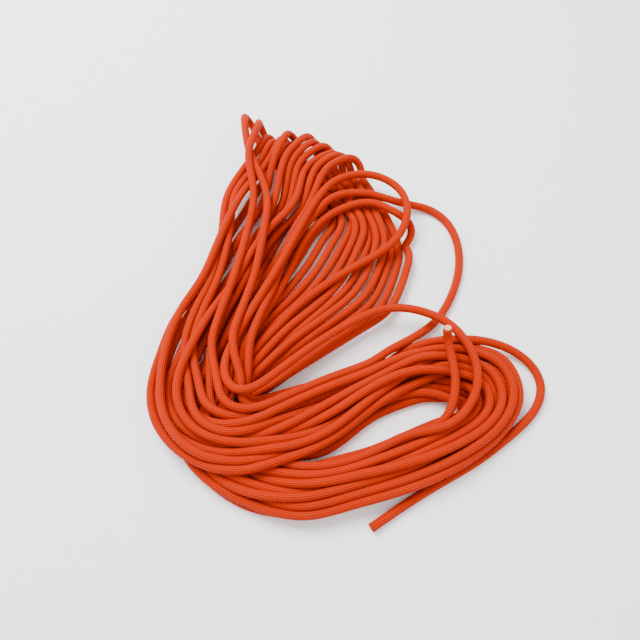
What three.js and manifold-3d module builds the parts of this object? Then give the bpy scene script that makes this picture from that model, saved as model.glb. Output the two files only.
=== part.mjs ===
// A loose hank of round elastic cord, thrown down on a flat surface with two free ends.
// Millimetres, +Z up, the surface at z = 0. Seen from above with +Y away from the viewer, every turn is
// a long loop with a bend in its middle: it comes down the flank on the left, rounds the knee, runs right
// along the arm, turns back at the right end, and returns low down to the crotch and the crown.
import * as THREE from "three";
import { mergeVertices } from "three/addons/utils/BufferGeometryUtils.js";
import Module from "manifold-3d";

const CORD = 4.5; // diameter of the cord
const CORE = 3.5; // diameter of the rubber core in a cut face
const CORE_SHOWN = 0.9; // thickness of the slice of core that shows
const TWIST = 7.6; // diameter of a main twist: one strand and what lies against it
const GAP = 0.35; // clearance between two solids
const LYING = 2.3; // height of a strand that lies on the surface
const TWIST_SIDES = 6;
const TWIST_STEP = 25;
const LOOSE_SIDES = 6;
const LOOSE_STEP = 13.5;
const END_SIDES = 10;
const END_STEP = 9;

// The box of the whole is centred on the origin by this shift.
const CENTRE = { x: -0.45, y: 13.02 };

// Lanes are numbered across the band from 0 to LANES. A stray strand may run outside them.
const LANES = 12;

// The band is described by gates across it, in the order in which a turn passes them. A strand's lane at
// a gate is the column `from` of its row in TURNS, moved towards the column `to` by the share `by`.
// `first` and `last` are the plan positions of lane 0 and lane 12, `low` and `high` the heights of lift 0
// and lift 2.
const GATES = [
  { name: "shoulder", from: "leg", to: "knee", by: 0, first: [-69.5, 76], last: [-17, 66], low: 5, high: 15 },
  { name: "high flank", from: "leg", to: "knee", by: 0.25, first: [-77, 48], last: [-27, 50], low: 5, high: 14 },
  { name: "low flank", from: "leg", to: "knee", by: 0.45, first: [-84.8, 21], last: [-38, 20], low: 5, high: 13 },
  { name: "hip", from: "leg", to: "knee", by: 0.6, first: [-96, -1], last: [-48, -2], low: 6, high: 13 },
  { name: "knee side", from: "leg", to: "knee", by: 0.7, first: [-99.8, -21], last: [-55, -20], low: 7, high: 14 },
  { name: "knee", from: "knee", to: "arm", by: 0, first: [-99, -44], last: [-56, -43], low: 8, high: 15 },
  { name: "low knee", from: "knee", to: "arm", by: 0.15, first: [-93.8, -61.5], last: [-56, -49], low: 9, high: 16 },
  { name: "heel", from: "knee", to: "arm", by: 0.35, first: [-81, -75], last: [-51.5, -53], low: 9, high: 16 },
  { name: "arm root", from: "knee", to: "arm", by: 0.6, first: [-61, -83], last: [-42, -52], low: 8, high: 15 },
  { name: "near arm", from: "knee", to: "arm", by: 0.85, first: [-38, -82], last: [-31, -47], low: 6, high: 13 },
  { name: "mid arm", from: "arm", first: [-12.5, -73.6], last: [-11, -39.5], low: 4, high: 12 },
  { name: "far arm", from: "arm", first: [15, -51.5], last: [13, -31], low: 3, high: 11 },
  { name: "wrist", from: "arm", to: "end", by: 0.3, first: [38, -43.5], last: [34, -22], low: 3, high: 11 },
  { name: "end top", from: "arm", to: "end", by: 0.7, first: [51, -46.5], last: [57, -17], low: 3, high: 11 },
  { name: "end corner", from: "end", first: [59, -48], last: [82.5, -25], high: 10 },
  { name: "end side", from: "end", first: [61, -53], last: [88, -44.5], high: 10 },
  { name: "end foot", from: "end", first: [58, -57], last: [79.3, -60.4], high: 10 },
  { name: "back start", from: "end", to: "inner", by: 0.1, first: [48, -59], last: [59.5, -77.4], high: 12 },
  { name: "far back", from: "end", to: "inner", by: 0.2, first: [30, -66.8], last: [36.5, -88], high: 13 },
  { name: "mid back", from: "end", to: "inner", by: 0.35, first: [4.5, -79.2], last: [4, -94.4], high: 13 },
  { name: "near back", from: "end", to: "inner", by: 0.5, first: [-20, -83.5], last: [-24.5, -100.6], high: 12 },
  { name: "back root", from: "end", to: "inner", by: 0.6, first: [-43, -81], last: [-47.5, -94], high: 8.5 },
  { name: "under heel", from: "end", to: "inner", by: 0.7, first: [-58, -73], last: [-66, -80.5], high: 6 },
  { name: "under knee", from: "end", to: "inner", by: 0.8, first: [-63, -64], last: [-76, -67], high: 6 },
  { name: "under side", from: "end", to: "inner", by: 0.9, first: [-62, -55], last: [-77, -52], high: 6 },
  { name: "crotch", from: "inner", first: [-51, -45], last: [-70, -36], high: 7 },
  { name: "inner root", from: "inner", first: [-35.5, -37.2], last: [-62, -18], high: 8 },
  { name: "inner low", from: "inner", first: [-12, -22.7], last: [-52, 4], high: 8 },
  { name: "inner mid", from: "inner", first: [8.8, -9.4], last: [-40, 20], high: 8 },
  { name: "inner high", from: "inner", first: [25.5, 2.5], last: [-29, 38], high: 8 },
  { name: "inner top", from: "inner", first: [34, 22], last: [-19, 56], high: 8 },
  { name: "neck", from: "neck", first: [36, 42], last: [-14, 72], high: 8 },
];

// Where each turn loops over at the crown. `spread` is half the width of the loop and `rise` half its
// height. It arrives low, from the lane `inner` of the inner arm and the lane `neck` above it, where its
// lift is `low`, and runs free for `reach`. It leaves high, over the plan position `over`.
const CROWN = [
  { x: -59.6, y: 135, z: 11, spread: 3.5, rise: 7, inner: 14.6, neck: 11.6, low: 0, reach: 20, over: [-57, 105] },
  { x: -49.3, y: 130, z: 11, spread: 2.5, rise: 7, inner: 13.2, neck: 11, low: 1.4, reach: 20, over: [-56, 100] },
  { x: -47, y: 121, z: 8, spread: 4, rise: 5, inner: 11.5, neck: 10.2, low: 0.6, reach: 20, over: [-55, 102] },
  { x: -42, y: 119, z: 8, spread: 4, rise: 4, inner: 10.3, neck: 9.4, low: 0.2, reach: 20, over: [-50, 98] },
  { x: -33.5, y: 119, z: 11, spread: 4, rise: 7, inner: 9.2, neck: 8.6, low: 0.2, reach: 20, over: [-41, 99] },
  { x: -18, y: 119.3, z: 11, spread: 5, rise: 6.5, inner: 8.2, neck: 7.8, low: 0.1, reach: 20, over: [-34, 100] },
  { x: -38, y: 120, z: 7, spread: 4, rise: 4, inner: 7.2, neck: 6.9, low: 0.3, reach: 20, over: [-47, 99] },
  { x: -32, y: 117, z: 7, spread: 4, rise: 4, inner: 6.2, neck: 6, low: 1.2, reach: 20, over: [-42, 98] },
  { x: 9.5, y: 100.2, z: 11, spread: 6, rise: 6, inner: 1.4, neck: 1.0, low: 0, reach: 6, over: [-10, 91] },
  { x: -9.5, y: 113.5, z: 8, spread: 5, rise: 4.5, inner: 4.3, neck: 4.2, low: 1.3, reach: 10, over: [-26, 99] },
  { x: -3.5, y: 108, z: 8, spread: 5, rise: 4.5, inner: 2.4, neck: 2.1, low: 0, reach: 8, over: [-22, 95] },
  { x: 39, y: 54, z: 8, spread: 9, rise: 4.5, inner: 0.4, neck: 0, low: 1.2, reach: 7, over: [16, 70] },
  { x: 1.5, y: 103.5, z: 10, spread: 6, rise: 5.5, inner: 3.3, neck: 3.2, low: 0.9, reach: 7, over: [-16, 93] },
  { x: -16, y: 115.5, z: 9.5, spread: 5, rise: 5.5, inner: 5.3, neck: 5.1, low: 0.9, reach: 12, over: [-31, 98] },
];
const FAN = { x: -25, y: 52 }; // the crown's loops open towards this point

// The turns in the order in which the cord makes them. `loop` is the row of CROWN that the turn comes
// over, `leg`, `knee`, `arm` and `end` are its lanes, and each lift says how high it lies in the band.
// `main` marks the strands that are main twists of the solid.
const TURNS = [
  { loop: null, leg: 13, knee: 10.4, flankLift: 1.8, arm: 22, armLift: 2, end: 1, endLift: 1.6, main: true },
  { loop: 11, leg: 14.2, knee: 11.6, flankLift: 0.6, arm: 0, armLift: 0, end: 1.2, endLift: 0, main: false },
  { loop: 12, leg: 10.2, knee: 4.5, flankLift: 0.6, arm: 11, armLift: 2, end: 10.2, endLift: 1.8, main: true },
  { loop: 5, leg: 6.6, knee: 8.4, flankLift: 1.2, arm: 6.6, armLift: 0.8, end: 6, endLift: 1.4, main: false },
  { loop: 2, leg: 0.4, knee: 5.7, flankLift: 1.4, arm: 7.4, armLift: 1, end: 4, endLift: 0.6, main: true },
  { loop: 8, leg: 11.4, knee: 12.6, flankLift: 1.5, arm: 11.6, armLift: 0.8, end: 11.6, endLift: 1.2, main: true },
  { loop: 1, leg: 4.0, knee: 9.8, flankLift: 2, arm: 12, armLift: 1.6, end: 12, endLift: 1, main: true },
  { loop: null, leg: 12.5, knee: 10.9, flankLift: 1, arm: 6, armLift: 0, end: 2.6, endLift: 1.6, main: false },
  { loop: 9, leg: 8.4, knee: 3.3, flankLift: 0.5, arm: 8.5, armLift: 1.6, end: 7, endLift: 1.8, main: false },
  { loop: 13, leg: 7.5, knee: 2.1, flankLift: 0.2, arm: 5.6, armLift: 1.6, end: 5, endLift: 2, main: true },
  { loop: 3, leg: 1.4, knee: 7.1, flankLift: 1.8, arm: 9.6, armLift: 0.8, end: 8, endLift: 0.4, main: true },
  { loop: 7, leg: 3.1, knee: -0.3, flankLift: 0, arm: 1.1, armLift: 1, end: 9, endLift: 0.8, main: true },
  { loop: 4, leg: 4.9, knee: 0.9, flankLift: 0.1, arm: 3.1, armLift: 1.6, end: 12, endLift: 0.2, main: false },
  { loop: 6, leg: 2.3, knee: 1.5, flankLift: 1.8, arm: 2.2, armLift: 0.3, end: -0.6, endLift: 0.9, main: false },
  { loop: 10, leg: 9.3, knee: 3.9, flankLift: 1.8, arm: 4.4, armLift: 0.9, end: 3.2, endLift: 0, main: false },
  { loop: 0, leg: 5.7, knee: 12.9, flankLift: 2, arm: 11.2, armLift: 0.6, end: 17, endLift: 0.6, main: false },
];

// Routes of the stretches that leave the band, as plan position and height.
const UPPER_END = [
  [49.5, -60, 14.6], [51.8, -53.5, 16], [53.4, -45.5, 17], [53.5, -37, 17.5], [52.3, -29, 18], [51, -23, 18.8],
  [50, -18.6, 21.6], [49.6, -17, 27.2],
];
const UPPER_ROOT = [
  [50, -59, 15], [46, -63, 12.5], [38, -67, 11], [25, -72, 10],
];
const OVER_LOOP = [
  [-52, -34, 4], [-43, -18, 6], [-27, 4, 8], [-13, 16, 9], [3, 27, 10], [17, 35, 10.5], [28, 44, 11],
  [34, 55, 11.5], [35.5, 67, 12], [32.6, 77.5, 12.5], [23.6, 86, 13], [13, 89.2, 13.5], [1, 87, 14], [-9, 80, 14.5],
];
const CROSSING = [
  [-61.5, -34, 15.5], [-59.5, -42.5, 16.5], [-54, -47.5, 16.5], [-46.5, -45, 16], [-39, -39, 15.5],
  [-24, -26, 15], [-1, -9.5, 14], [17, 0, 13], [29, 1.6, 13], [42, -1.3, 13], [53.4, -8.2, 14], [60.3, -18, 15],
  [64.5, -30, 15], [64.5, -42, 15], [61, -51, 14], [55, -59, 13.5], [46, -65, 12.5],
];
const SIDE_LOOP = [
  [22, -23, 8], [36, -13, 5], [48.5, -2.5, 3], [58, 12, 2.5], [64, 28, 2.5], [65.7, 42, 2.5], [63.4, 56.6, 2.5],
  [56.3, 67.7, 2.5], [46.5, 72.4, 3.5], [36.6, 73, 5], [26.6, 74.8, 6.5], [17, 76.8, 8], [4, 77, 9], [-8, 73.5, 9.5],
];
const END_LOOP = [
  [63, -18.5, 9], [75, -17.8, 7], [88, -20.8, 5], [98.2, -29.2, 3.5], [100.8, -40, 3], [96, -51, 2.6],
  [86, -60.5, 2.4], [75, -68, 2.3], [64, -75.2, 2.3],
];
const LOWER_END = [
  [61.5, -76.6, 2.25], [48.5, -84.7, 2.25], [35.5, -92.8, 2.25], [23.2, -100.7, 2.25], [10, -109.2, 2.25],
];

// The stray stretches by the number of their turn: the gate each leaves after, and the one it joins before.
const STRAYS = {
  "-1": { after: "crotch", before: null, route: OVER_LOOP },
  0: { after: "knee side", before: "far back", route: CROSSING },
  6: { after: "far arm", before: null, route: SIDE_LOOP },
  15: { after: "wrist", before: null, route: END_LOOP },
};

// The number of the return in which the cord starts, before the first turn, and its lanes.
const START = -1;
const START_LANES = { end: 0, endLift: 0.5, inner: 10, neck: 0, low: 0.2 };

const gateNumber = (name) => GATES.findIndex((gate) => gate.name === name);
const last = (list) => list[list.length - 1];
const toVectors = (points) => points.map(([x, y, z]) => new THREE.Vector3(x, y, z));

// A turn returns by the lanes that its next turn's loop asks for.
function gatePoint({ from, to = from, by = 0, first, last, low = LYING, high }, number) {
  const next = CROWN[TURNS[number + 1]?.loop] ?? START_LANES;
  const turn = TURNS[number] ?? START_LANES;
  const lanes = { ...turn, inner: next.inner, neck: next.neck };
  const lifts = {
    leg: turn.flankLift, knee: turn.flankLift, arm: turn.armLift, end: turn.endLift,
    inner: next.low, neck: next.low,
  };
  const mix = (table) => THREE.MathUtils.lerp(table[from], table[to], by);
  const across = mix(lanes) / LANES;
  return new THREE.Vector3(
    THREE.MathUtils.lerp(first[0], last[0], across),
    THREE.MathUtils.lerp(first[1], last[1], across),
    THREE.MathUtils.lerp(low, high, mix(lifts) / 2),
  );
}

// A round loop that carries a turn over the crown, from its low leg on the right to its high leg.
function crownPoints(loop) {
  const { x, y, z, spread, rise, reach, over } = CROWN[loop];
  const inward = new THREE.Vector2(FAN.x - x, FAN.y - y).normalize();
  const right = new THREE.Vector2(-inward.y, inward.x);
  const radius = Math.hypot(spread, rise);
  const at = (along, side) =>
    new THREE.Vector3(
      x + inward.x * along + right.x * spread * side,
      y + inward.y * along + right.y * spread * side,
      z - rise * side,
    );
  const bow = [80, 40, 0, -40, -80].map((degrees) => {
    const angle = THREE.MathUtils.degToRad(degrees);
    return at(radius * (1 - Math.cos(angle)), Math.sin(angle));
  });
  return [at(reach, 1), ...bow, new THREE.Vector3(...over, z + rise)];
}

// The whole cord in the order in which it runs, cut into stretches: loops over the crown, bands that
// follow the gates, and strays.
function cordStretches() {
  const stretches = [];
  const add = (kind, main, points) => stretches.push({ kind, main, points });
  const addBand = (number, from, to) => {
    const gates = GATES.slice(gateNumber(from), gateNumber(to) + 1);
    add("band", TURNS[number]?.main ?? true, gates.map((gate) => gatePoint(gate, number)));
  };
  const addTurn = (number, first) => {
    const stray = STRAYS[number];
    const leaves = stray?.after ?? "neck";
    const middle = gateNumber("far arm");
    if (gateNumber(first) < middle && gateNumber(leaves) > middle) {
      addBand(number, first, "mid arm");
      addBand(number, "far arm", leaves);
    } else {
      addBand(number, first, leaves);
    }
    if (stray) add("stray", false, toVectors(stray.route));
    if (stray?.before) addBand(number, stray.before, "neck");
  };
  add("stray", false, toVectors(UPPER_ROOT));
  addTurn(START, "mid back");
  TURNS.forEach((turn, number) => {
    if (turn.loop !== null) add("loop", false, crownPoints(turn.loop));
    addTurn(number, turn.loop === null ? "high flank" : "shoulder");
  });
  return stretches;
}

function roundSection(diameter, sides) {
  const section = new THREE.Shape();
  for (let side = 0; side < sides; side += 1) {
    const angle = ((side + 0.5) / sides) * 2 * Math.PI;
    const [x, y] = [Math.cos(angle), Math.sin(angle)].map((part) => (part * diameter) / 2);
    if (side === 0) section.moveTo(x, y);
    else section.lineTo(x, y);
  }
  section.closePath();
  return section;
}

function tube(points, diameter, sides, step) {
  const path = new THREE.CatmullRomCurve3(points, false, "centripetal");
  path.arcLengthDivisions = 40 * points.length;
  return new THREE.ExtrudeGeometry(roundSection(diameter, sides), {
    steps: Math.max(1, Math.round(path.getLength() / step)),
    extrudePath: path,
  });
}

const wasm = await Module();
wasm.setup();

function solidOf(geometry) {
  const bare = geometry.clone().deleteAttribute("normal").deleteAttribute("uv");
  const merged = mergeVertices(bare, 1e-4);
  return new wasm.Manifold(
    new wasm.Mesh({
      numProp: 3,
      vertProperties: merged.attributes.position.array,
      triVerts: new Uint32Array(merged.index.array),
    }),
  );
}

function geometryOf(solid) {
  const { vertProperties, triVerts } = solid.getMesh();
  const geometry = new THREE.BufferGeometry();
  geometry.setAttribute("position", new THREE.BufferAttribute(vertProperties, 3));
  geometry.setIndex(new THREE.BufferAttribute(triVerts, 1));
  return geometry;
}

// The main twists, and the loops and strays at their real size, joined and cut flat where they rest.
function woundForm() {
  const stretches = cordStretches();
  const tubes = stretches.map(({ kind, main, points }, number) => {
    const before = stretches[number - 1]?.points.slice(-1) ?? [];
    const after = stretches[number + 1]?.points.slice(0, 1) ?? [];
    const route = [...before, ...points, ...after];
    if (kind !== "band") return tube(route, CORD, LOOSE_SIDES, LOOSE_STEP);
    return main ? tube(route, TWIST, TWIST_SIDES, TWIST_STEP) : null;
  });
  const solids = tubes.filter((geometry) => geometry !== null).map(solidOf);
  return solids.reduce((whole, part) => whole.add(part)).trimByPlane([0, 0, 1], 0);
}

// A route made longer at both ends, for the room that an end piece needs.
function lengthened(points, length) {
  const reach = (end, before) => end.clone().add(end.clone().sub(before).setLength(length));
  const ends = [reach(points[0], points[1]), reach(last(points), points[points.length - 2])];
  return [ends[0], ...points.slice(1, -1), ends[1]];
}

function roomFor(points) {
  return solidOf(tube(lengthened(points, GAP), CORD + 2 * GAP, END_SIDES, END_STEP));
}

// The hank without the crumbs and sealed pockets that crossing tubes leave.
function hankSolid() {
  const cut = woundForm().subtract(roomFor(toVectors(UPPER_END))).subtract(roomFor(toVectors(LOWER_END)));
  return cut.decompose().reduce((largest, body) => (body.volume() > largest.volume() ? body : largest));
}

// A slice of the core that stands clear of the upper cut face.
function coreSlice() {
  const [inner, face] = toVectors(UPPER_END).slice(-2);
  const along = face.clone().sub(inner).normalize();
  const slice = new THREE.CylinderGeometry(CORE / 2, CORE / 2, CORE_SHOWN, 16);
  slice.applyQuaternion(new THREE.Quaternion().setFromUnitVectors(new THREE.Vector3(0, 1, 0), along));
  const centre = face.clone().addScaledVector(along, GAP + CORE_SHOWN / 2);
  return slice.translate(centre.x, centre.y, centre.z);
}

const SHEATH = new THREE.MeshStandardMaterial({ name: "sheath", color: 0xff4a05, roughness: 0.7 });
const RUBBER = new THREE.MeshStandardMaterial({ name: "rubber", color: 0xf2b59a, roughness: 0.8 });

function piece(name, geometry, material) {
  const placed = geometry.translate(-CENTRE.x, -CENTRE.y, 0);
  const mesh = new THREE.Mesh(placed, material);
  mesh.name = name;
  return mesh;
}

const hank = new THREE.Group();
hank.name = "shock_cord_hank";
hank.add(
  piece("hank", geometryOf(hankSolid()), SHEATH),
  piece("upper_end", tube(toVectors(UPPER_END), CORD, END_SIDES, END_STEP), SHEATH),
  piece("rubber_core", coreSlice(), RUBBER),
  piece("lower_end", tube(toVectors(LOWER_END), CORD, END_SIDES, END_STEP), SHEATH),
);

export default hank;
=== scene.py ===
"""A loose hank of orange shock cord, laid down on a table with two free ends."""

import math
from collections import namedtuple

import bmesh
import bpy
import numpy as np
from mathutils import Matrix, Vector


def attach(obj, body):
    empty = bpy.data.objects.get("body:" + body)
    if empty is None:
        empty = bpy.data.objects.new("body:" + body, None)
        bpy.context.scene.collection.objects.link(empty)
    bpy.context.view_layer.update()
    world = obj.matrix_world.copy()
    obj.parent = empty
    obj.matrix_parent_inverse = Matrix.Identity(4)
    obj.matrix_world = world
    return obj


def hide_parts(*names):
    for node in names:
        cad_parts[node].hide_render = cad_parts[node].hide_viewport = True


bl_info = {
    "name": "Shock Cord Hank",
    "version": (1, 0, 0),
    "blender": (4, 5, 0),
    "location": "View3D > Sidebar > Hank",
    "description": "Lays a hank of braided elastic cord on a pale table",
    "category": "Add Mesh",
}

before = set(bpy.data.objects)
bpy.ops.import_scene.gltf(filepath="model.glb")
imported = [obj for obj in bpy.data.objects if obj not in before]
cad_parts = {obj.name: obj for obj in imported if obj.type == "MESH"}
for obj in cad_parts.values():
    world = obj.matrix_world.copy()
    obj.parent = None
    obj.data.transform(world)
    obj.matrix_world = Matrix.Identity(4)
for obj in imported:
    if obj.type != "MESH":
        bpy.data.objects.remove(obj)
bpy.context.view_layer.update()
BODY = "root"

# The route is stated in millimetres, as in the part's source, and built in metres.
MM = 0.001
CENTRE = (-0.45, 13.02)
LANES = 12  # lanes across the band
LIFTS = 2  # lifts from its lowest strands to its highest

Gate = namedtuple("Gate", "name start end blend first last low high")
Loop = namedtuple("Loop", "x y z spread rise inner neck low reach over")
Turn = namedtuple("Turn", "loop leg knee flank_lift arm arm_lift end end_lift")

# The gates across the band, in the order in which a turn passes them. A strand's lane at a gate lies
# between two of its lanes, `start` and `end`, by `blend`. `first` and `last` are the plan positions of
# lane 0 and lane 12, `low` and `high` the heights of lift 0 and lift 2.
GATES = (
    Gate("shoulder", "leg", "knee", 0, (-69.5, 76), (-17, 66), 5, 15),
    Gate("high flank", "leg", "knee", 0.25, (-77, 48), (-27, 50), 5, 14),
    Gate("low flank", "leg", "knee", 0.45, (-84.8, 21), (-38, 20), 5, 13),
    Gate("hip", "leg", "knee", 0.6, (-96, -1), (-48, -2), 6, 13),
    Gate("knee side", "leg", "knee", 0.7, (-99.8, -21), (-55, -20), 7, 14),
    Gate("knee", "knee", "arm", 0, (-99, -44), (-56, -43), 8, 15),
    Gate("low knee", "knee", "arm", 0.15, (-93.8, -61.5), (-56, -49), 9, 16),
    Gate("heel", "knee", "arm", 0.35, (-81, -75), (-51.5, -53), 9, 16),
    Gate("arm root", "knee", "arm", 0.6, (-61, -83), (-42, -52), 8, 15),
    Gate("near arm", "knee", "arm", 0.85, (-38, -82), (-31, -47), 6, 13),
    Gate("mid arm", "arm", "arm", 0, (-12.5, -73.6), (-11, -39.5), 4, 12),
    Gate("far arm", "arm", "arm", 0, (15, -51.5), (13, -31), 3, 11),
    Gate("wrist", "arm", "end", 0.3, (38, -43.5), (34, -22), 3, 11),
    Gate("end top", "arm", "end", 0.7, (51, -46.5), (57, -17), 3, 11),
    Gate("end corner", "end", "end", 0, (59, -48), (82.5, -25), 2.3, 10),
    Gate("end side", "end", "end", 0, (61, -53), (88, -44.5), 2.3, 10),
    Gate("end foot", "end", "end", 0, (58, -57), (79.3, -60.4), 2.3, 10),
    Gate("back start", "end", "inner", 0.1, (48, -59), (59.5, -77.4), 2.3, 12),
    Gate("far back", "end", "inner", 0.2, (30, -66.8), (36.5, -88), 2.3, 13),
    Gate("mid back", "end", "inner", 0.35, (4.5, -79.2), (4, -94.4), 2.3, 13),
    Gate("near back", "end", "inner", 0.5, (-20, -83.5), (-24.5, -100.6), 2.3, 12),
    Gate("back root", "end", "inner", 0.6, (-43, -81), (-47.5, -94), 2.3, 8.5),
    Gate("under heel", "end", "inner", 0.7, (-58, -73), (-66, -80.5), 2.3, 6),
    Gate("under knee", "end", "inner", 0.8, (-63, -64), (-76, -67), 2.3, 6),
    Gate("under side", "end", "inner", 0.9, (-62, -55), (-77, -52), 2.3, 6),
    Gate("crotch", "inner", "inner", 0, (-51, -45), (-70, -36), 2.3, 7),
    Gate("inner root", "inner", "inner", 0, (-35.5, -37.2), (-62, -18), 2.3, 8),
    Gate("inner low", "inner", "inner", 0, (-12, -22.7), (-52, 4), 2.3, 8),
    Gate("inner mid", "inner", "inner", 0, (8.8, -9.4), (-40, 20), 2.3, 8),
    Gate("inner high", "inner", "inner", 0, (25.5, 2.5), (-29, 38), 2.3, 8),
    Gate("inner top", "inner", "inner", 0, (34, 22), (-19, 56), 2.3, 8),
    Gate("neck", "neck", "neck", 0, (36, 42), (-14, 72), 2.3, 8),
)

# Where each turn loops over at the crown, the lanes it arrives by, and the plan position it leaves over.
CROWN = (
    Loop(-59.6, 135, 11, 3.5, 7, 14.6, 11.6, 0, 20, (-57, 105)),
    Loop(-49.3, 130, 11, 2.5, 7, 13.2, 11, 1.4, 20, (-56, 100)),
    Loop(-47, 121, 8, 4, 5, 11.5, 10.2, 0.6, 20, (-55, 102)),
    Loop(-42, 119, 8, 4, 4, 10.3, 9.4, 0.2, 20, (-50, 98)),
    Loop(-33.5, 119, 11, 4, 7, 9.2, 8.6, 0.2, 20, (-41, 99)),
    Loop(-18, 119.3, 11, 5, 6.5, 8.2, 7.8, 0.1, 20, (-34, 100)),
    Loop(-38, 120, 7, 4, 4, 7.2, 6.9, 0.3, 20, (-47, 99)),
    Loop(-32, 117, 7, 4, 4, 6.2, 6, 1.2, 20, (-42, 98)),
    Loop(9.5, 100.2, 11, 6, 6, 1.4, 1.0, 0, 6, (-10, 91)),
    Loop(-9.5, 113.5, 8, 5, 4.5, 4.3, 4.2, 1.3, 10, (-26, 99)),
    Loop(-3.5, 108, 8, 5, 4.5, 2.4, 2.1, 0, 8, (-22, 95)),
    Loop(39, 54, 8, 9, 4.5, 0.4, 0, 1.2, 7, (16, 70)),
    Loop(1.5, 103.5, 10, 6, 5.5, 3.3, 3.2, 0.9, 7, (-16, 93)),
    Loop(-16, 115.5, 9.5, 5, 5.5, 5.3, 5.1, 0.9, 12, (-31, 98)),
)
FAN = (-25, 52)  # the crown's loops point away from here
LOOP_ANGLES = (80, 40, 0, -40, -80)  # degrees round a crown loop

# The turns in the order in which the cord makes them, with their lanes and lifts.
TURNS = (
    Turn(None, 13, 10.4, 1.8, 22, 2, 1, 1.6),
    Turn(11, 14.2, 11.6, 0.6, 0, 0, 1.2, 0),
    Turn(12, 10.2, 4.5, 0.6, 11, 2, 10.2, 1.8),
    Turn(5, 6.6, 8.4, 1.2, 6.6, 0.8, 6, 1.4),
    Turn(2, 0.4, 5.7, 1.4, 7.4, 1, 4, 0.6),
    Turn(8, 11.4, 12.6, 1.5, 11.6, 0.8, 11.6, 1.2),
    Turn(1, 4.0, 9.8, 2, 12, 1.6, 12, 1),
    Turn(None, 12.5, 10.9, 1, 6, 0, 2.6, 1.6),
    Turn(9, 8.4, 3.3, 0.5, 8.5, 1.6, 7, 1.8),
    Turn(13, 7.5, 2.1, 0.2, 5.6, 1.6, 5, 2),
    Turn(3, 1.4, 7.1, 1.8, 9.6, 0.8, 8, 0.4),
    Turn(7, 3.1, -0.3, 0, 1.1, 1, 9, 0.8),
    Turn(4, 4.9, 0.9, 0.1, 3.1, 1.6, 12, 0.2),
    Turn(6, 2.3, 1.5, 1.8, 2.2, 0.3, -0.6, 0.9),
    Turn(10, 9.3, 3.9, 1.8, 4.4, 0.9, 3.2, 0),
    Turn(0, 5.7, 12.9, 2, 11.2, 0.6, 17, 0.6),
)
START = -1
START_LANES = {"end": 0, "end_lift": 0.5, "inner": 10, "neck": 0, "low": 0.2}

# The stretches that leave the band.
UPPER_END = (
    (49.5, -60, 14.6), (51.8, -53.5, 16), (53.4, -45.5, 17), (53.5, -37, 17.5), (52.3, -29, 18),
    (51, -23, 18.8), (50, -18.6, 21.6), (49.6, -17, 27.2),
)
UPPER_ROOT = (
    (50, -59, 15), (46, -63, 12.5), (38, -67, 11), (25, -72, 10),
)
OVER_LOOP = (
    (-52, -34, 4), (-43, -18, 6), (-27, 4, 8), (-13, 16, 9), (3, 27, 10), (17, 35, 10.5), (28, 44, 11),
    (34, 55, 11.5), (35.5, 67, 12), (32.6, 77.5, 12.5), (23.6, 86, 13), (13, 89.2, 13.5), (1, 87, 14),
    (-9, 80, 14.5),
)
CROSSING = (
    (-61.5, -34, 15.5), (-59.5, -42.5, 16.5), (-54, -47.5, 16.5), (-46.5, -45, 16), (-39, -39, 15.5),
    (-24, -26, 15), (-1, -9.5, 14), (17, 0, 13), (29, 1.6, 13), (42, -1.3, 13), (53.4, -8.2, 14),
    (60.3, -18, 15), (64.5, -30, 15), (64.5, -42, 15), (61, -51, 14), (55, -59, 13.5), (46, -65, 12.5),
)
SIDE_LOOP = (
    (22, -23, 8), (36, -13, 5), (48.5, -2.5, 3), (58, 12, 2.5), (64, 28, 2.5), (65.7, 42, 2.5),
    (63.4, 56.6, 2.5), (56.3, 67.7, 2.5), (46.5, 72.4, 3.5), (36.6, 73, 5), (26.6, 74.8, 6.5),
    (17, 76.8, 8), (4, 77, 9), (-8, 73.5, 9.5),
)
END_LOOP = (
    (63, -18.5, 9), (75, -17.8, 7), (88, -20.8, 5), (98.2, -29.2, 3.5), (100.8, -40, 3), (96, -51, 2.6),
    (86, -60.5, 2.4), (75, -68, 2.3), (64, -75.2, 2.3),
)
LOWER_END = (
    (61.5, -76.6, 2.25), (48.5, -84.7, 2.25), (35.5, -92.8, 2.25), (23.2, -100.7, 2.25),
    (10, -109.2, 2.25),
)

# A stray leaves after one gate and joins before another.
STRAYS = {
    START: ("crotch", None, OVER_LOOP),
    0: ("knee side", "far back", CROSSING),
    6: ("far arm", None, SIDE_LOOP),
    15: ("wrist", None, END_LOOP),
}

STEP = 2.5  # spacing of the rings of the tube
CUTS = 12  # pieces of the curve between two points of the route
ROUTE_EVENING = 6

# How the cord settles. The aim for the tightest bend isn't reached in every loop at the crown.
SETTLING_STEPS = 220
FIRST_SIZE = 0.35  # share of its thickness at which the cord starts to press on itself
GROWING_SHARE = 0.6  # share of the steps in which it grows to its full thickness
FAIRING_ROUNDS = 3
FAIRING_SHARE = 0.5
STIFF_ROUNDS = 2
STIFF_SHARE = 0.3
STIFF_REACH = 4  # rings over which the cord spreads a push along itself
TIGHTEST_BEND = 9.0
OPENING_SHARE = 0.5
HOLD = 0.02  # share of the way back to the route
SINKING = 0.01
MARGIN = 0.3  # strands this much further apart than their size are watched too
NEIGHBOURS = 5  # rings this close along the cord don't press on each other
PUSHING_ROUNDS = 3
PUSH_GAIN = 1.2
PUSH_EVENING = 2
STRETCH_SHARE = 0.25  # share of a ring's stretch that each end takes back
TINY = 1e-9

# The waves in the cord's thickness: share of the thickness, reach along the cord, and start.
THICKNESS_WAVES = ((0.012, 37.0, 0.0), (0.008, 11.3, 2.0))

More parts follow.
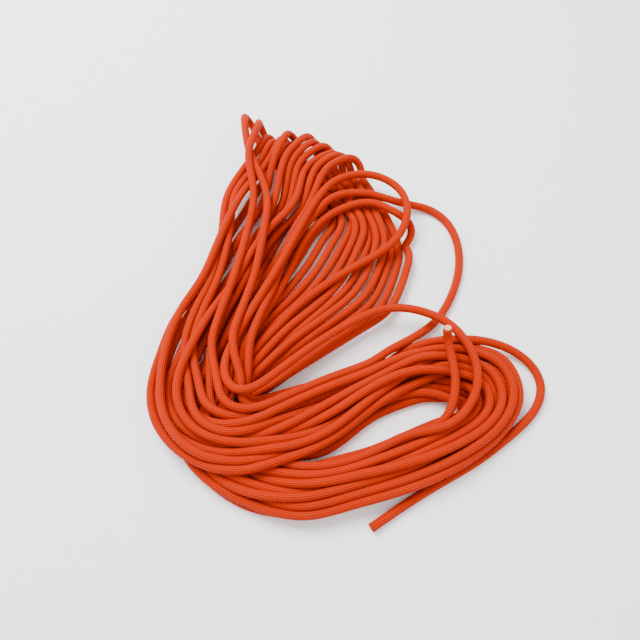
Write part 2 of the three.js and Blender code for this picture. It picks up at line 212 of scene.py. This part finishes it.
# The cut faces, in metres or in widths of the sheath's rim.
CUT_SLOPE = 0.00005
DISH_DEPTH = 0.4
CORE_SIDES = 32
CORE_THICKNESS = 1.5
CORE_SINK = 0.3
DOME_STEPS = ((0.25, 0.2), (0.35, 0.12))  # inset in radii of the core, rise in widths of the rim

# How fine the noise in each material is, per metre.
PATCH_SCALE = 55.0
FUZZ_SCALE = 2600.0
FIBRE_SCALE = 3500.0
THREAD_SCALE = 1900.0
TABLE_SCALE = 90.0
FIBRE_DEPTH = 0.0002
THREAD_DEPTH = 0.00012

# The sockets of a mix node for colours, which share their names with those for other data.
MIX_FACTOR, MIX_FIRST, MIX_SECOND = 0, 6, 7
MIX_RESULT = 2

# The camera looks down on the hank from close by.
CAMERA_ELEVATION = math.radians(65)
CAMERA_DISTANCE = 340
CAMERA_TARGET = (-14, 0, 0)
CAMERA_FOCAL = 620 / 640  # focal length in picture widths
CAMERA_NEAR = 0.01
SENSOR = 36

# The stage, in metres.
KEY_PLACE = (-0.35, 0.35, 0.75)
KEY_WIDTH = 0.6
FILL_PLACE = (0.6, -0.4, 0.6)
FILL_WIDTH = 0.8
TABLE_REACH = 1.5
TABLE_SQUARES = 4


def gate_number(name):
    return [gate.name for gate in GATES].index(name)


def mixed(low, high, part):
    return low + (high - low) * part


def lanes_of(number):
    """The lane and the lift of one turn in each part of the band"""
    turn = TURNS[number] if number >= 0 else None
    following = TURNS[number + 1] if number + 1 < len(TURNS) else None
    arrival = START_LANES
    if following is not None and following.loop is not None:
        arrival = CROWN[following.loop]._asdict()
    own = turn._asdict() if turn else START_LANES
    lanes = {
        "leg": own.get("leg"),
        "knee": own.get("knee"),
        "arm": own.get("arm"),
        "end": own["end"],
        "inner": arrival["inner"],
        "neck": arrival["neck"],
    }
    lifts = {
        "leg": own.get("flank_lift"),
        "knee": own.get("flank_lift"),
        "arm": own.get("arm_lift"),
        "end": own["end_lift"],
        "inner": arrival["low"],
        "neck": arrival["low"],
    }
    return lanes, lifts


def gate_point(gate, number):
    lanes, lifts = lanes_of(number)
    across = mixed(lanes[gate.start], lanes[gate.end], gate.blend) / LANES
    lift = mixed(lifts[gate.start], lifts[gate.end], gate.blend) / LIFTS
    return (
        mixed(gate.first[0], gate.last[0], across),
        mixed(gate.first[1], gate.last[1], across),
        mixed(gate.low, gate.high, lift),
    )


def crown_points(loop):
    """The loop that carries a turn over the crown, from its low leg to its high one"""
    tip = np.array((loop.x, loop.y), float)
    inward = np.array(FAN) - tip
    inward /= np.linalg.norm(inward)
    right = np.array((-inward[1], inward[0]))
    radius = math.hypot(loop.spread, loop.rise)

    def at(along, side):
        place = tip + inward * along + right * loop.spread * side
        return (place[0], place[1], loop.z - loop.rise * side)

    points = [at(loop.reach, 1)]
    for degrees in LOOP_ANGLES:
        angle = math.radians(degrees)
        points.append(at(radius * (1 - math.cos(angle)), math.sin(angle)))
    points.append((*loop.over, loop.z + loop.rise))
    return points


def band_points(number, first, last):
    gates = GATES[gate_number(first) : gate_number(last) + 1]
    return [gate_point(gate, number) for gate in gates]


def turn_points(number, first):
    leaves, joins, stray = STRAYS.get(number, ("neck", None, ()))
    points = band_points(number, first, leaves) + list(stray)
    if joins:
        points += band_points(number, joins, "neck")
    return points


def cord_route():
    """The points that the whole cord passes, from its upper end to its lower end"""
    points = list(UPPER_END[::-1]) + list(UPPER_ROOT[1:])
    points += turn_points(START, "mid back")
    for number, turn in enumerate(TURNS):
        if turn.loop is None:
            points += turn_points(number, "high flank")
        else:
            points += crown_points(CROWN[turn.loop])
            points += turn_points(number, "shoulder")
    points += LOWER_END[1:]
    route = np.array(points, float)
    route[:, :2] -= CENTRE
    return route


def distances(points):
    """How far along a line each of its points is"""
    steps = np.linalg.norm(np.diff(points, axis=0), axis=1)
    return np.concatenate(([0], np.cumsum(steps)))


def resampled(points, step):
    """Points a fixed step apart along a line"""
    along = distances(points)
    count = int(round(along[-1] / step))
    places = np.linspace(0, along[-1], count + 1)
    return np.stack([np.interp(places, along, points[:, axis]) for axis in range(3)], 1)


def smooth_curve(points):
    """A centripetal Catmull-Rom curve through the points"""
    knots = np.concatenate((2 * points[:1] - points[1:2], points, 2 * points[-1:] - points[-2:-1]))
    curve = []
    for number in range(1, len(knots) - 2):
        near = knots[number - 1 : number + 3]
        gaps = np.sqrt(np.linalg.norm(np.diff(near, axis=0), axis=1))
        times = np.concatenate(([0], np.cumsum(gaps)))
        at = np.linspace(times[1], times[2], CUTS, endpoint=False)[:, None]

        def between(start, end, first, second):
            span = times[end] - times[start]
            return ((times[end] - at) * first + (at - times[start]) * second) / span

        lines = [between(i, i + 1, near[i], near[i + 1]) for i in range(3)]
        bows = [between(0, 2, lines[0], lines[1]), between(1, 3, lines[1], lines[2])]
        curve.append(between(1, 2, bows[0], bows[1]))
    return np.concatenate([*curve, knots[-2:-1]])


def evened(points, rounds):
    """The line with each inner point drawn towards the middle of its neighbours"""
    even = points.copy()
    for _ in range(rounds):
        even[1:-1] = even[1:-1] * 0.5 + (even[:-2] + even[2:]) * 0.25
    return even


def close_pairs(points, reach):
    """Every two points nearer than reach that aren't close along the cord"""
    cells = np.floor(points / reach).astype(np.int64)
    cells -= cells.min(axis=0) - 1
    width = cells.max() + 2
    keys = (cells[:, 0] * width + cells[:, 1]) * width + cells[:, 2]
    order = np.argsort(keys, kind="stable")
    ranked = keys[order]
    pairs = []
    for offset in np.ndindex(3, 3, 3):
        shift = ((offset[0] - 1) * width + offset[1] - 1) * width + offset[2] - 1
        low = np.searchsorted(ranked, keys + shift, "left")
        counts = np.searchsorted(ranked, keys + shift, "right") - low
        first = np.repeat(np.arange(len(points)), counts)
        within = np.arange(counts.sum()) - np.repeat(np.cumsum(counts) - counts, counts)
        second = order[np.repeat(low, counts) + within]
        pairs.append(np.stack((first, second), 1)[second - first > NEIGHBOURS])
    pairs = np.concatenate(pairs)
    apart = np.linalg.norm(points[pairs[:, 0]] - points[pairs[:, 1]], axis=1)
    return pairs[apart < reach]


def per_point(pairs, push, count):
    """The pushes on each point, added up"""
    total = np.zeros((count, 3))
    for axis in range(3):
        total[:, axis] += np.bincount(pairs[:, 1], push[:, axis], count)
        total[:, axis] -= np.bincount(pairs[:, 0], push[:, axis], count)
    return total


def pushed_apart(points, pairs, size):
    """The points after some rounds of pushing strands that lie in each other apart"""
    count = len(points)
    for _ in range(PUSHING_ROUNDS):
        gap = points[pairs[:, 1]] - points[pairs[:, 0]]
        length = np.linalg.norm(gap, axis=1) + TINY
        inside = np.maximum(0, size - length)
        push = gap * (inside / length * 0.5)[:, None]
        touching = np.bincount(pairs[inside > 0].ravel(), minlength=count)
        move = per_point(pairs, push, count) / np.maximum(1, touching)[:, None]
        points = points + PUSH_GAIN * evened(move, PUSH_EVENING)
    return points


def eased(points, reach, share):
    """The points moved by a share of the way to a fair curve

    The curve runs through their neighbours one and two times `reach` rings off.
    """
    near = (points[reach : -3 * reach] + points[3 * reach : -reach]) / 2
    far = (points[: -4 * reach] + points[4 * reach :]) / 2
    even = points.copy()
    even[2 * reach : -2 * reach] += share * ((4 * near - far) / 3 - points[2 * reach : -2 * reach])
    return even


def opened(points):
    """The points with each bend tighter than the aim opened by a share of what it lacks"""
    middle = (points[:-2] + points[2:]) / 2 - points[1:-1]
    height = np.linalg.norm(middle, axis=1) + TINY
    excess = np.maximum(0, height - STEP**2 / (2 * TIGHTEST_BEND))
    points[1:-1] += middle * (OPENING_SHARE * excess / height)[:, None]
    return points


def settled(route, diameter):
    """The cord as it lies: it keeps near its route, bends fairly, and presses on itself and the table"""
    points = route.copy()
    rest = np.linalg.norm(np.diff(points, axis=0), axis=1)
    for step in range(SETTLING_STEPS):
        growth = (1 - FIRST_SIZE) * step / (GROWING_SHARE * SETTLING_STEPS)
        size = diameter * min(1, FIRST_SIZE + growth)
        for _ in range(FAIRING_ROUNDS):
            points = eased(points, 1, FAIRING_SHARE)
        for _ in range(STIFF_ROUNDS):
            points = route + eased(points - route, STIFF_REACH, STIFF_SHARE)
        points = opened(points)
        points += HOLD * (route - points)
        points[:, 2] -= SINKING
        points = pushed_apart(points, close_pairs(points, size + MARGIN), size)
        points[:, 2] = np.maximum(points[:, 2], diameter / 2)
        span = np.diff(points, axis=0)
        length = np.linalg.norm(span, axis=1)
        pull = span * (STRETCH_SHARE * (length - rest) / length)[:, None]
        points[:-1] += pull
        points[1:] -= pull
    return points


class Socket:
    """An output of a shader node, for expressions in Python"""

    def __init__(self, shader, output):
        self.shader = shader
        self.output = output

    def math(self, operation, other=0.0):
        return self.shader.node("ShaderNodeMath", {"operation": operation}, {0: self, 1: other})

    def __add__(self, other):
        return self.math("ADD", other)

    def __sub__(self, other):
        return self.math("SUBTRACT", other)

    def __mul__(self, other):
        return self.math("MULTIPLY", other)

    def __rsub__(self, other):
        return self.shader.node("ShaderNodeMath", {"operation": "SUBTRACT"}, {0: other, 1: self})

    __radd__ = __add__
    __rmul__ = __mul__

    def sine(self):
        return self.math("SINE")

    def size(self):
        return self.math("ABSOLUTE")

    def power(self, exponent):
        return self.math("POWER", exponent)

    def larger(self, other):
        return self.math("MAXIMUM", other)


class Shader:
    """A material whose nodes are added by expressions"""

    def __init__(self, name):
        self.material = bpy.data.materials.new(name)
        self.material.use_nodes = True
        self.tree = self.material.node_tree
        self.tree.nodes.clear()

    def node(self, kind, settings=None, inputs=None, output=0):
        made = self.tree.nodes.new(kind)
        for name, value in (settings or {}).items():
            setattr(made, name, value)
        for name, value in (inputs or {}).items():
            if isinstance(value, Socket):
                self.tree.links.new(value.output, made.inputs[name])
            else:
                made.inputs[name].default_value = value
        return Socket(self, made.outputs[output])

    def mix(self, factor, first, second):
        inputs = {MIX_FACTOR: factor, MIX_FIRST: first, MIX_SECOND: second}
        return self.node("ShaderNodeMix", {"data_type": "RGBA"}, inputs, MIX_RESULT)

    def noise(self, vector, scale, detail):
        inputs = {"Vector": vector, "Scale": scale, "Detail": detail}
        return self.node("ShaderNodeTexNoise", {}, inputs)

    def bump(self, height, distance):
        inputs = {"Height": height, "Distance": distance, "Strength": 1.0}
        return self.node("ShaderNodeBump", {}, inputs)

    def finish(self, **inputs):
        """Ends the material in a Principled shader with these sockets"""
        named = {name.replace("_", " "): value for name, value in inputs.items()}
        surface = self.node("ShaderNodeBsdfPrincipled", {}, named)
        output = self.tree.nodes.new("ShaderNodeOutputMaterial")
        self.tree.links.new(surface.output, output.inputs["Surface"])
        return self.material


def braid_material(colours, sizes):
    """Braided sheath: fine ribs run along the cord, each a row of slanted stitches, with painted shade
    in the grooves between them
    """
    shader = Shader("braided_sheath")
    uv = shader.node("ShaderNodeTexCoord", output="UV")
    around = shader.node("ShaderNodeSeparateXYZ", {}, {0: uv})
    along = Socket(shader, around.output.node.outputs[1])
    slant = around * (sizes.ribs * math.pi)
    rib = slant.sine().size()
    rise = along * (2 * math.pi / sizes.stitch)
    stitches = (slant + rise).sine().larger((slant - rise).sine())
    height = rib * 0.7 + stitches * 0.3
    place = shader.node("ShaderNodeTexCoord", output="Object")
    patches = shader.noise(place, PATCH_SCALE, 2.0)
    fuzz = shader.noise(place, FUZZ_SCALE, 2.0)
    # Painted shade: the sheath colour darkens to the dark colour in the grooves between the ribs and
    # between the stitches; the fuzz adds a little random tone.
    depth = (rib.power(0.6) * 0.75 + stitches * 0.12 + fuzz * 0.12).math("MINIMUM", 1.0)
    lit = shader.mix(patches, (*colours.sheath, 1), (*colours.sheath_light, 1))
    colour = shader.mix(depth, (*colours.groove_shade_and_dark_fibre, 1), lit)
    normal = shader.bump(height, sizes.rib_depth)
    return shader.finish(
        Base_Color=colour,
        Roughness=0.62 + fuzz * 0.2,
        Normal=normal,
        Specular_IOR_Level=0.35,
        Specular_Tint=(1.0, 0.2, 0.03, 1.0),
    )


def cut_material(colours):
    """The fibres of the sheath where the cord was cut"""
    shader = Shader("cut_fibres")
    place = shader.node("ShaderNodeTexCoord", output="Object")
    grain = shader.noise(place, FIBRE_SCALE, 2.0)
    colour = shader.mix(grain, (*colours.groove_shade_and_dark_fibre, 1), (*colours.sheath, 1))
    normal = shader.bump(grain, FIBRE_DEPTH)
    return shader.finish(Base_Color=colour, Roughness=0.75, Normal=normal)


def rubber_material(colours):
    """The cut face of the core: a bundle of fine rubber threads, with painted shade in the gaps between
    them
    """
    shader = Shader("cut_rubber")
    place = shader.node("ShaderNodeTexCoord", output="Object")
    inputs = {"Vector": place, "Scale": THREAD_SCALE}
    threads = shader.node("ShaderNodeTexVoronoi", {}, inputs)
    # Painted shade: the colour darkens away from each thread's middle, into the gaps between the
    # threads.
    colour = shader.mix(threads, (*colours.core, 1), (*colours.thread_gap_shade, 1))
    normal = shader.bump(1 - threads, THREAD_DEPTH)
    return shader.finish(Base_Color=colour, Roughness=0.7, Normal=normal, Sheen_Weight=0.1)


def table_material(colours):
    """A matt pale top, a little uneven in colour"""
    shader = Shader("pale_table")
    place = shader.node("ShaderNodeTexCoord", output="Object")
    grain = shader.noise(place, TABLE_SCALE, 4.0)
    colour = shader.mix(grain, (*colours.table, 1), (*colours.table_light, 1))
    return shader.finish(Base_Color=colour, Roughness=0.9, Specular_IOR_Level=0.1)


def thickness(count):
    """How thick the cord is at each ring, as a share of its nominal size"""
    places = np.arange(count) * STEP
    waves = [share * np.sin(places / reach + start) for share, reach, start in THICKNESS_WAVES]
    return 1 + sum(waves)


def tube_curve(path, radii, sizes):
    """A curve of one open spline with a round section"""
    data = bpy.data.curves.new("shock_cord_line", "CURVE")
    data.dimensions = "3D"
    data.twist_mode = "MINIMUM"
    data.bevel_depth = sizes.diameter / 2
    data.bevel_resolution = sizes.bevel_resolution
    spline = data.splines.new("POLY")
    spline.points.add(len(path) - 1)
    flat = np.concatenate((path, np.ones((len(path), 1))), axis=1)
    spline.points.foreach_set("co", flat.ravel())
    spline.points.foreach_set("radius", radii)
    return data


def wrap_uv(mesh, path):
    """A UV map that runs round the tube once and along it in metres"""
    sides = len(mesh.vertices) // len(path)
    along = distances(path)
    corners = np.empty(len(mesh.loops), np.int64)
    mesh.loops.foreach_get("vertex_index", corners)
    sizes = np.empty(len(mesh.polygons), np.int64)
    mesh.polygons.foreach_get("loop_total", sizes)
    face = np.repeat(np.arange(len(sizes)), sizes)
    side = corners % sides
    widest = np.zeros(len(sizes), np.int64)
    np.maximum.at(widest, face, side)
    closing = (widest[face] == sides - 1) & (side == 0)
    uv = np.stack((np.where(closing, sides, side) / sides, along[corners // sides]), 1)
    layer = mesh.uv_layers.active or mesh.uv_layers.new(name="braid")
    layer.name = "braid"
    layer.data.foreach_set("uv", uv.astype(np.float32).ravel())


def finish_ends(mesh, sizes):
    """The two cut faces: each is dished a little inside a rim, and shows cut fibres"""
    shape = bmesh.new()
    shape.from_mesh(mesh)
    edges = [edge for edge in shape.edges if edge.is_boundary]
    ends = bmesh.ops.holes_fill(shape, edges=edges)["faces"]
    rim = bmesh.ops.inset_region(shape, faces=ends, thickness=sizes.rim, use_even_offset=True)
    bmesh.ops.inset_region(shape, faces=ends, thickness=CUT_SLOPE, depth=-sizes.rim * DISH_DEPTH)
    for face in ends + rim["faces"]:
        face.material_index = 1
        face.smooth = False
    bmesh.ops.recalc_face_normals(shape, faces=shape.faces)
    shape.to_mesh(mesh)
    shape.free()


def core_slice(radius, rim):
    """A round slice of core with a low dome on top, lying on the origin"""
    shape = bmesh.new()
    bmesh.ops.create_circle(shape, cap_ends=True, segments=CORE_SIDES, radius=radius)
    pulled = bmesh.ops.extrude_face_region(shape, geom=list(shape.faces))
    raised = [item for item in pulled["geom"] if isinstance(item, bmesh.types.BMVert)]
    bmesh.ops.translate(shape, verts=raised, vec=(0, 0, rim * CORE_THICKNESS))
    top = [face for face in shape.faces if all(vert in raised for vert in face.verts)]
    for inset, rise in DOME_STEPS:
        bmesh.ops.inset_region(shape, faces=top, thickness=radius * inset, depth=rim * rise)
    bmesh.ops.recalc_face_normals(shape, faces=shape.faces)
    return shape


def keep(piece, nodes):
    """Makes a finished object a piece that rides on the body and stands for its CAD nodes"""
    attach(piece, BODY)
    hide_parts(*nodes)


def new_object(name, data):
    made = bpy.data.objects.new(name, data)
    bpy.context.scene.collection.objects.link(made)
    return made


class HankSizes(bpy.types.PropertyGroup):
    diameter: bpy.props.FloatProperty(
        name="Cord diameter",
        description="Thickness of the cord",
        default=0.0045,
        min=0.003,
        max=0.006,
        unit="LENGTH",
    )
    core_diameter: bpy.props.FloatProperty(
        name="Core diameter",
        description="Thickness of the rubber core in the upper cut face",
        default=0.0036,
        unit="LENGTH",
    )
    rim: bpy.props.FloatProperty(
        name="Rim",
        description="Width of the sheath's rim at a cut face",
        default=0.0004,
        unit="LENGTH",
    )
    ribs: bpy.props.IntProperty(
        name="Ribs",
        description="Number of braided ribs round the cord",
        default=12,
    )
    stitch: bpy.props.FloatProperty(
        name="Stitch",
        description="Length of one stitch of the braid along the cord",
        default=0.0016,
        unit="LENGTH",
    )
    rib_depth: bpy.props.FloatProperty(
        name="Rib depth",
        description="Depth of the grooves between the ribs",
        default=0.00035,
        unit="LENGTH",
    )
    bevel_resolution: bpy.props.IntProperty(
        name="Roundness",
        description="How finely the cord's section is divided",
        default=5,
    )


def colour_property(name, description, default):
    return bpy.props.FloatVectorProperty(
        name=name,
        description=description,
        default=default,
        subtype="COLOR",
        min=0,
        max=1,
    )


class HankColours(bpy.types.PropertyGroup):
    sheath: colour_property("Sheath", "Colour of the braid", (0.43, 0.0165, 0.0))
    sheath_light: colour_property("Sheath, light", "Braid where it is paler", (0.49, 0.021, 0.0))
    # Painted shade in the grooves between the ribs of the braid; in the cut faces the same colour marks
    # darker fibres at random in the grain.
    groove_shade_and_dark_fibre: colour_property("Valley", "Colour between the ribs", (0.25, 0.006, 0.0))
    core: colour_property("Core", "Rubber in the cut face", (0.72, 0.4, 0.29))
    # Painted shade in the gaps between the rubber threads of the cut face.
    thread_gap_shade: colour_property("Core, dark", "Between the rubber threads", (0.55, 0.21, 0.125))
    table: colour_property("Table", "Colour of the table", (0.93, 0.93, 0.93))
    table_light: colour_property("Table, light", "Table where it is paler", (0.96, 0.96, 0.96))


class HankLight(bpy.types.PropertyGroup):
    key: bpy.props.FloatProperty(
        name="Key light",
        description="Strength of the soft light from the upper left",
        default=19.0,
        unit="POWER",
    )
    fill: bpy.props.FloatProperty(
        name="Fill light",
        description="Strength of the soft light from the right",
        default=2.7,
        unit="POWER",
    )
    sky: bpy.props.FloatProperty(
        name="Surroundings",
        description="Strength of the even light from all round",
        default=1.3,
    )


class HANK_OT_cord(bpy.types.Operator):
    """Lays the whole cord in its turns"""

    bl_idname = "hank.cord"
    bl_label = "Lay Cord"

    def execute(self, context):
        scene = context.scene
        sizes, colours = scene.hank_sizes, scene.hank_colours
        route = evened(resampled(smooth_curve(cord_route()), STEP), ROUTE_EVENING)
        path = settled(route, sizes.diameter / MM) * MM
        radii = thickness(len(path))
        line = new_object("cord_line", tube_curve(path, radii, sizes))
        context.view_layer.update()
        mesh = bpy.data.meshes.new_from_object(line)
        bpy.data.objects.remove(line)
        mesh.name = "shock_cord"
        wrap_uv(mesh, path)
        mesh.shade_smooth()
        mesh.materials.clear()
        mesh.materials.append(braid_material(colours, sizes))
        mesh.materials.append(cut_material(colours))
        finish_ends(mesh, sizes)
        cord = new_object("shock_cord", mesh)
        keep(cord, ("hank", "upper_end", "lower_end"))
        scene["upper_face"] = [float(value) for value in (*path[0], *(path[0] - path[1]))]
        return {"FINISHED"}


class HANK_OT_core(bpy.types.Operator):
    """Sets the rubber core in the upper cut face"""

    bl_idname = "hank.core"
    bl_label = "Set Core"

    def execute(self, context):
        scene = context.scene
        sizes = scene.hank_sizes
        values = scene["upper_face"]
        place, along = Vector(values[:3]), Vector(values[3:]).normalized()
        shape = core_slice(sizes.core_diameter / 2, sizes.rim)
        turn = along.to_track_quat("Z", "Y").to_matrix().to_4x4()
        base = Matrix.Translation(place - along * sizes.rim * CORE_SINK) @ turn
        bmesh.ops.transform(shape, matrix=base, verts=shape.verts)
        mesh = bpy.data.meshes.new("core")
        shape.to_mesh(mesh)
        shape.free()
        mesh.materials.append(rubber_material(scene.hank_colours))
        core = new_object("core", mesh)
        keep(core, ("rubber_core",))
        return {"FINISHED"}


class HANK_OT_stage(bpy.types.Operator):
    """Sets the table, the soft lights and the camera"""

    bl_idname = "hank.stage"
    bl_label = "Set Stage"

    def execute(self, context):
        scene = context.scene
        light = scene.hank_light
        add_camera(scene)
        add_table(scene.hank_colours)
        add_soft_light("key_light", KEY_PLACE, KEY_WIDTH, light.key)
        add_soft_light("fill_light", FILL_PLACE, FILL_WIDTH, light.fill)
        world = bpy.data.worlds.new("studio")
        world.use_nodes = True
        background = world.node_tree.nodes["Background"]
        background.inputs["Color"].default_value = (1, 1, 1, 1)
        background.inputs["Strength"].default_value = light.sky
        scene.world = world
        return {"FINISHED"}


def add_camera(scene):
    data = bpy.data.cameras.new("camera")
    data.sensor_width = SENSOR
    data.lens = SENSOR * CAMERA_FOCAL
    data.clip_start = CAMERA_NEAR
    camera = new_object("camera", data)
    target = Vector(CAMERA_TARGET) - Vector((*CENTRE, 0))
    forward = Vector((0, math.cos(CAMERA_ELEVATION), -math.sin(CAMERA_ELEVATION)))
    camera.location = (target - forward * CAMERA_DISTANCE) * MM
    camera.rotation_euler = (math.pi / 2 - CAMERA_ELEVATION, 0, 0)
    scene.camera = camera


def add_table(colours):
    shape = bmesh.new()
    squares = {"x_segments": TABLE_SQUARES, "y_segments": TABLE_SQUARES}
    bmesh.ops.create_grid(shape, size=TABLE_REACH, **squares)
    mesh = bpy.data.meshes.new("table")
    shape.to_mesh(mesh)
    shape.free()
    mesh.materials.append(table_material(colours))
    table = new_object("table", mesh)


def add_soft_light(name, place, size, power):
    data = bpy.data.lights.new(name, "AREA")
    data.shape = "DISK"
    data.size = size
    data.energy = power
    light = new_object(name, data)
    light.location = place
    light.rotation_euler = (-Vector(place)).to_track_quat("-Z", "Y").to_euler()


class HANK_PT_panel(bpy.types.Panel):
    """Sizes and colours of the hank, and a button for each piece"""

    bl_label = "Shock Cord Hank"
    bl_idname = "HANK_PT_panel"
    bl_space_type = "VIEW_3D"
    bl_region_type = "UI"
    bl_category = "Hank"

    def draw(self, context):
        scene = context.scene
        for group in (scene.hank_sizes, scene.hank_colours, scene.hank_light):
            box = self.layout.box()
            for name in group.__annotations__:
                box.prop(group, name)
        for step in STEPS:
            self.layout.operator(step)


STEPS = ("hank.stage", "hank.cord", "hank.core")
CLASSES = (
    HankSizes,
    HankColours,
    HankLight,
    HANK_OT_cord,
    HANK_OT_core,
    HANK_OT_stage,
    HANK_PT_panel,
)
GROUPS = {"hank_sizes": HankSizes, "hank_colours": HankColours, "hank_light": HankLight}


def register():
    for item in CLASSES:
        bpy.utils.register_class(item)
    for name, group in GROUPS.items():
        setattr(bpy.types.Scene, name, bpy.props.PointerProperty(type=group))


def unregister():
    for name in GROUPS:
        delattr(bpy.types.Scene, name)
    for item in reversed(CLASSES):
        bpy.utils.unregister_class(item)


def main():
    register()
    bpy.ops.hank.stage()
    bpy.ops.hank.cord()
    bpy.ops.hank.core()


if __name__ == "__main__":
    main()
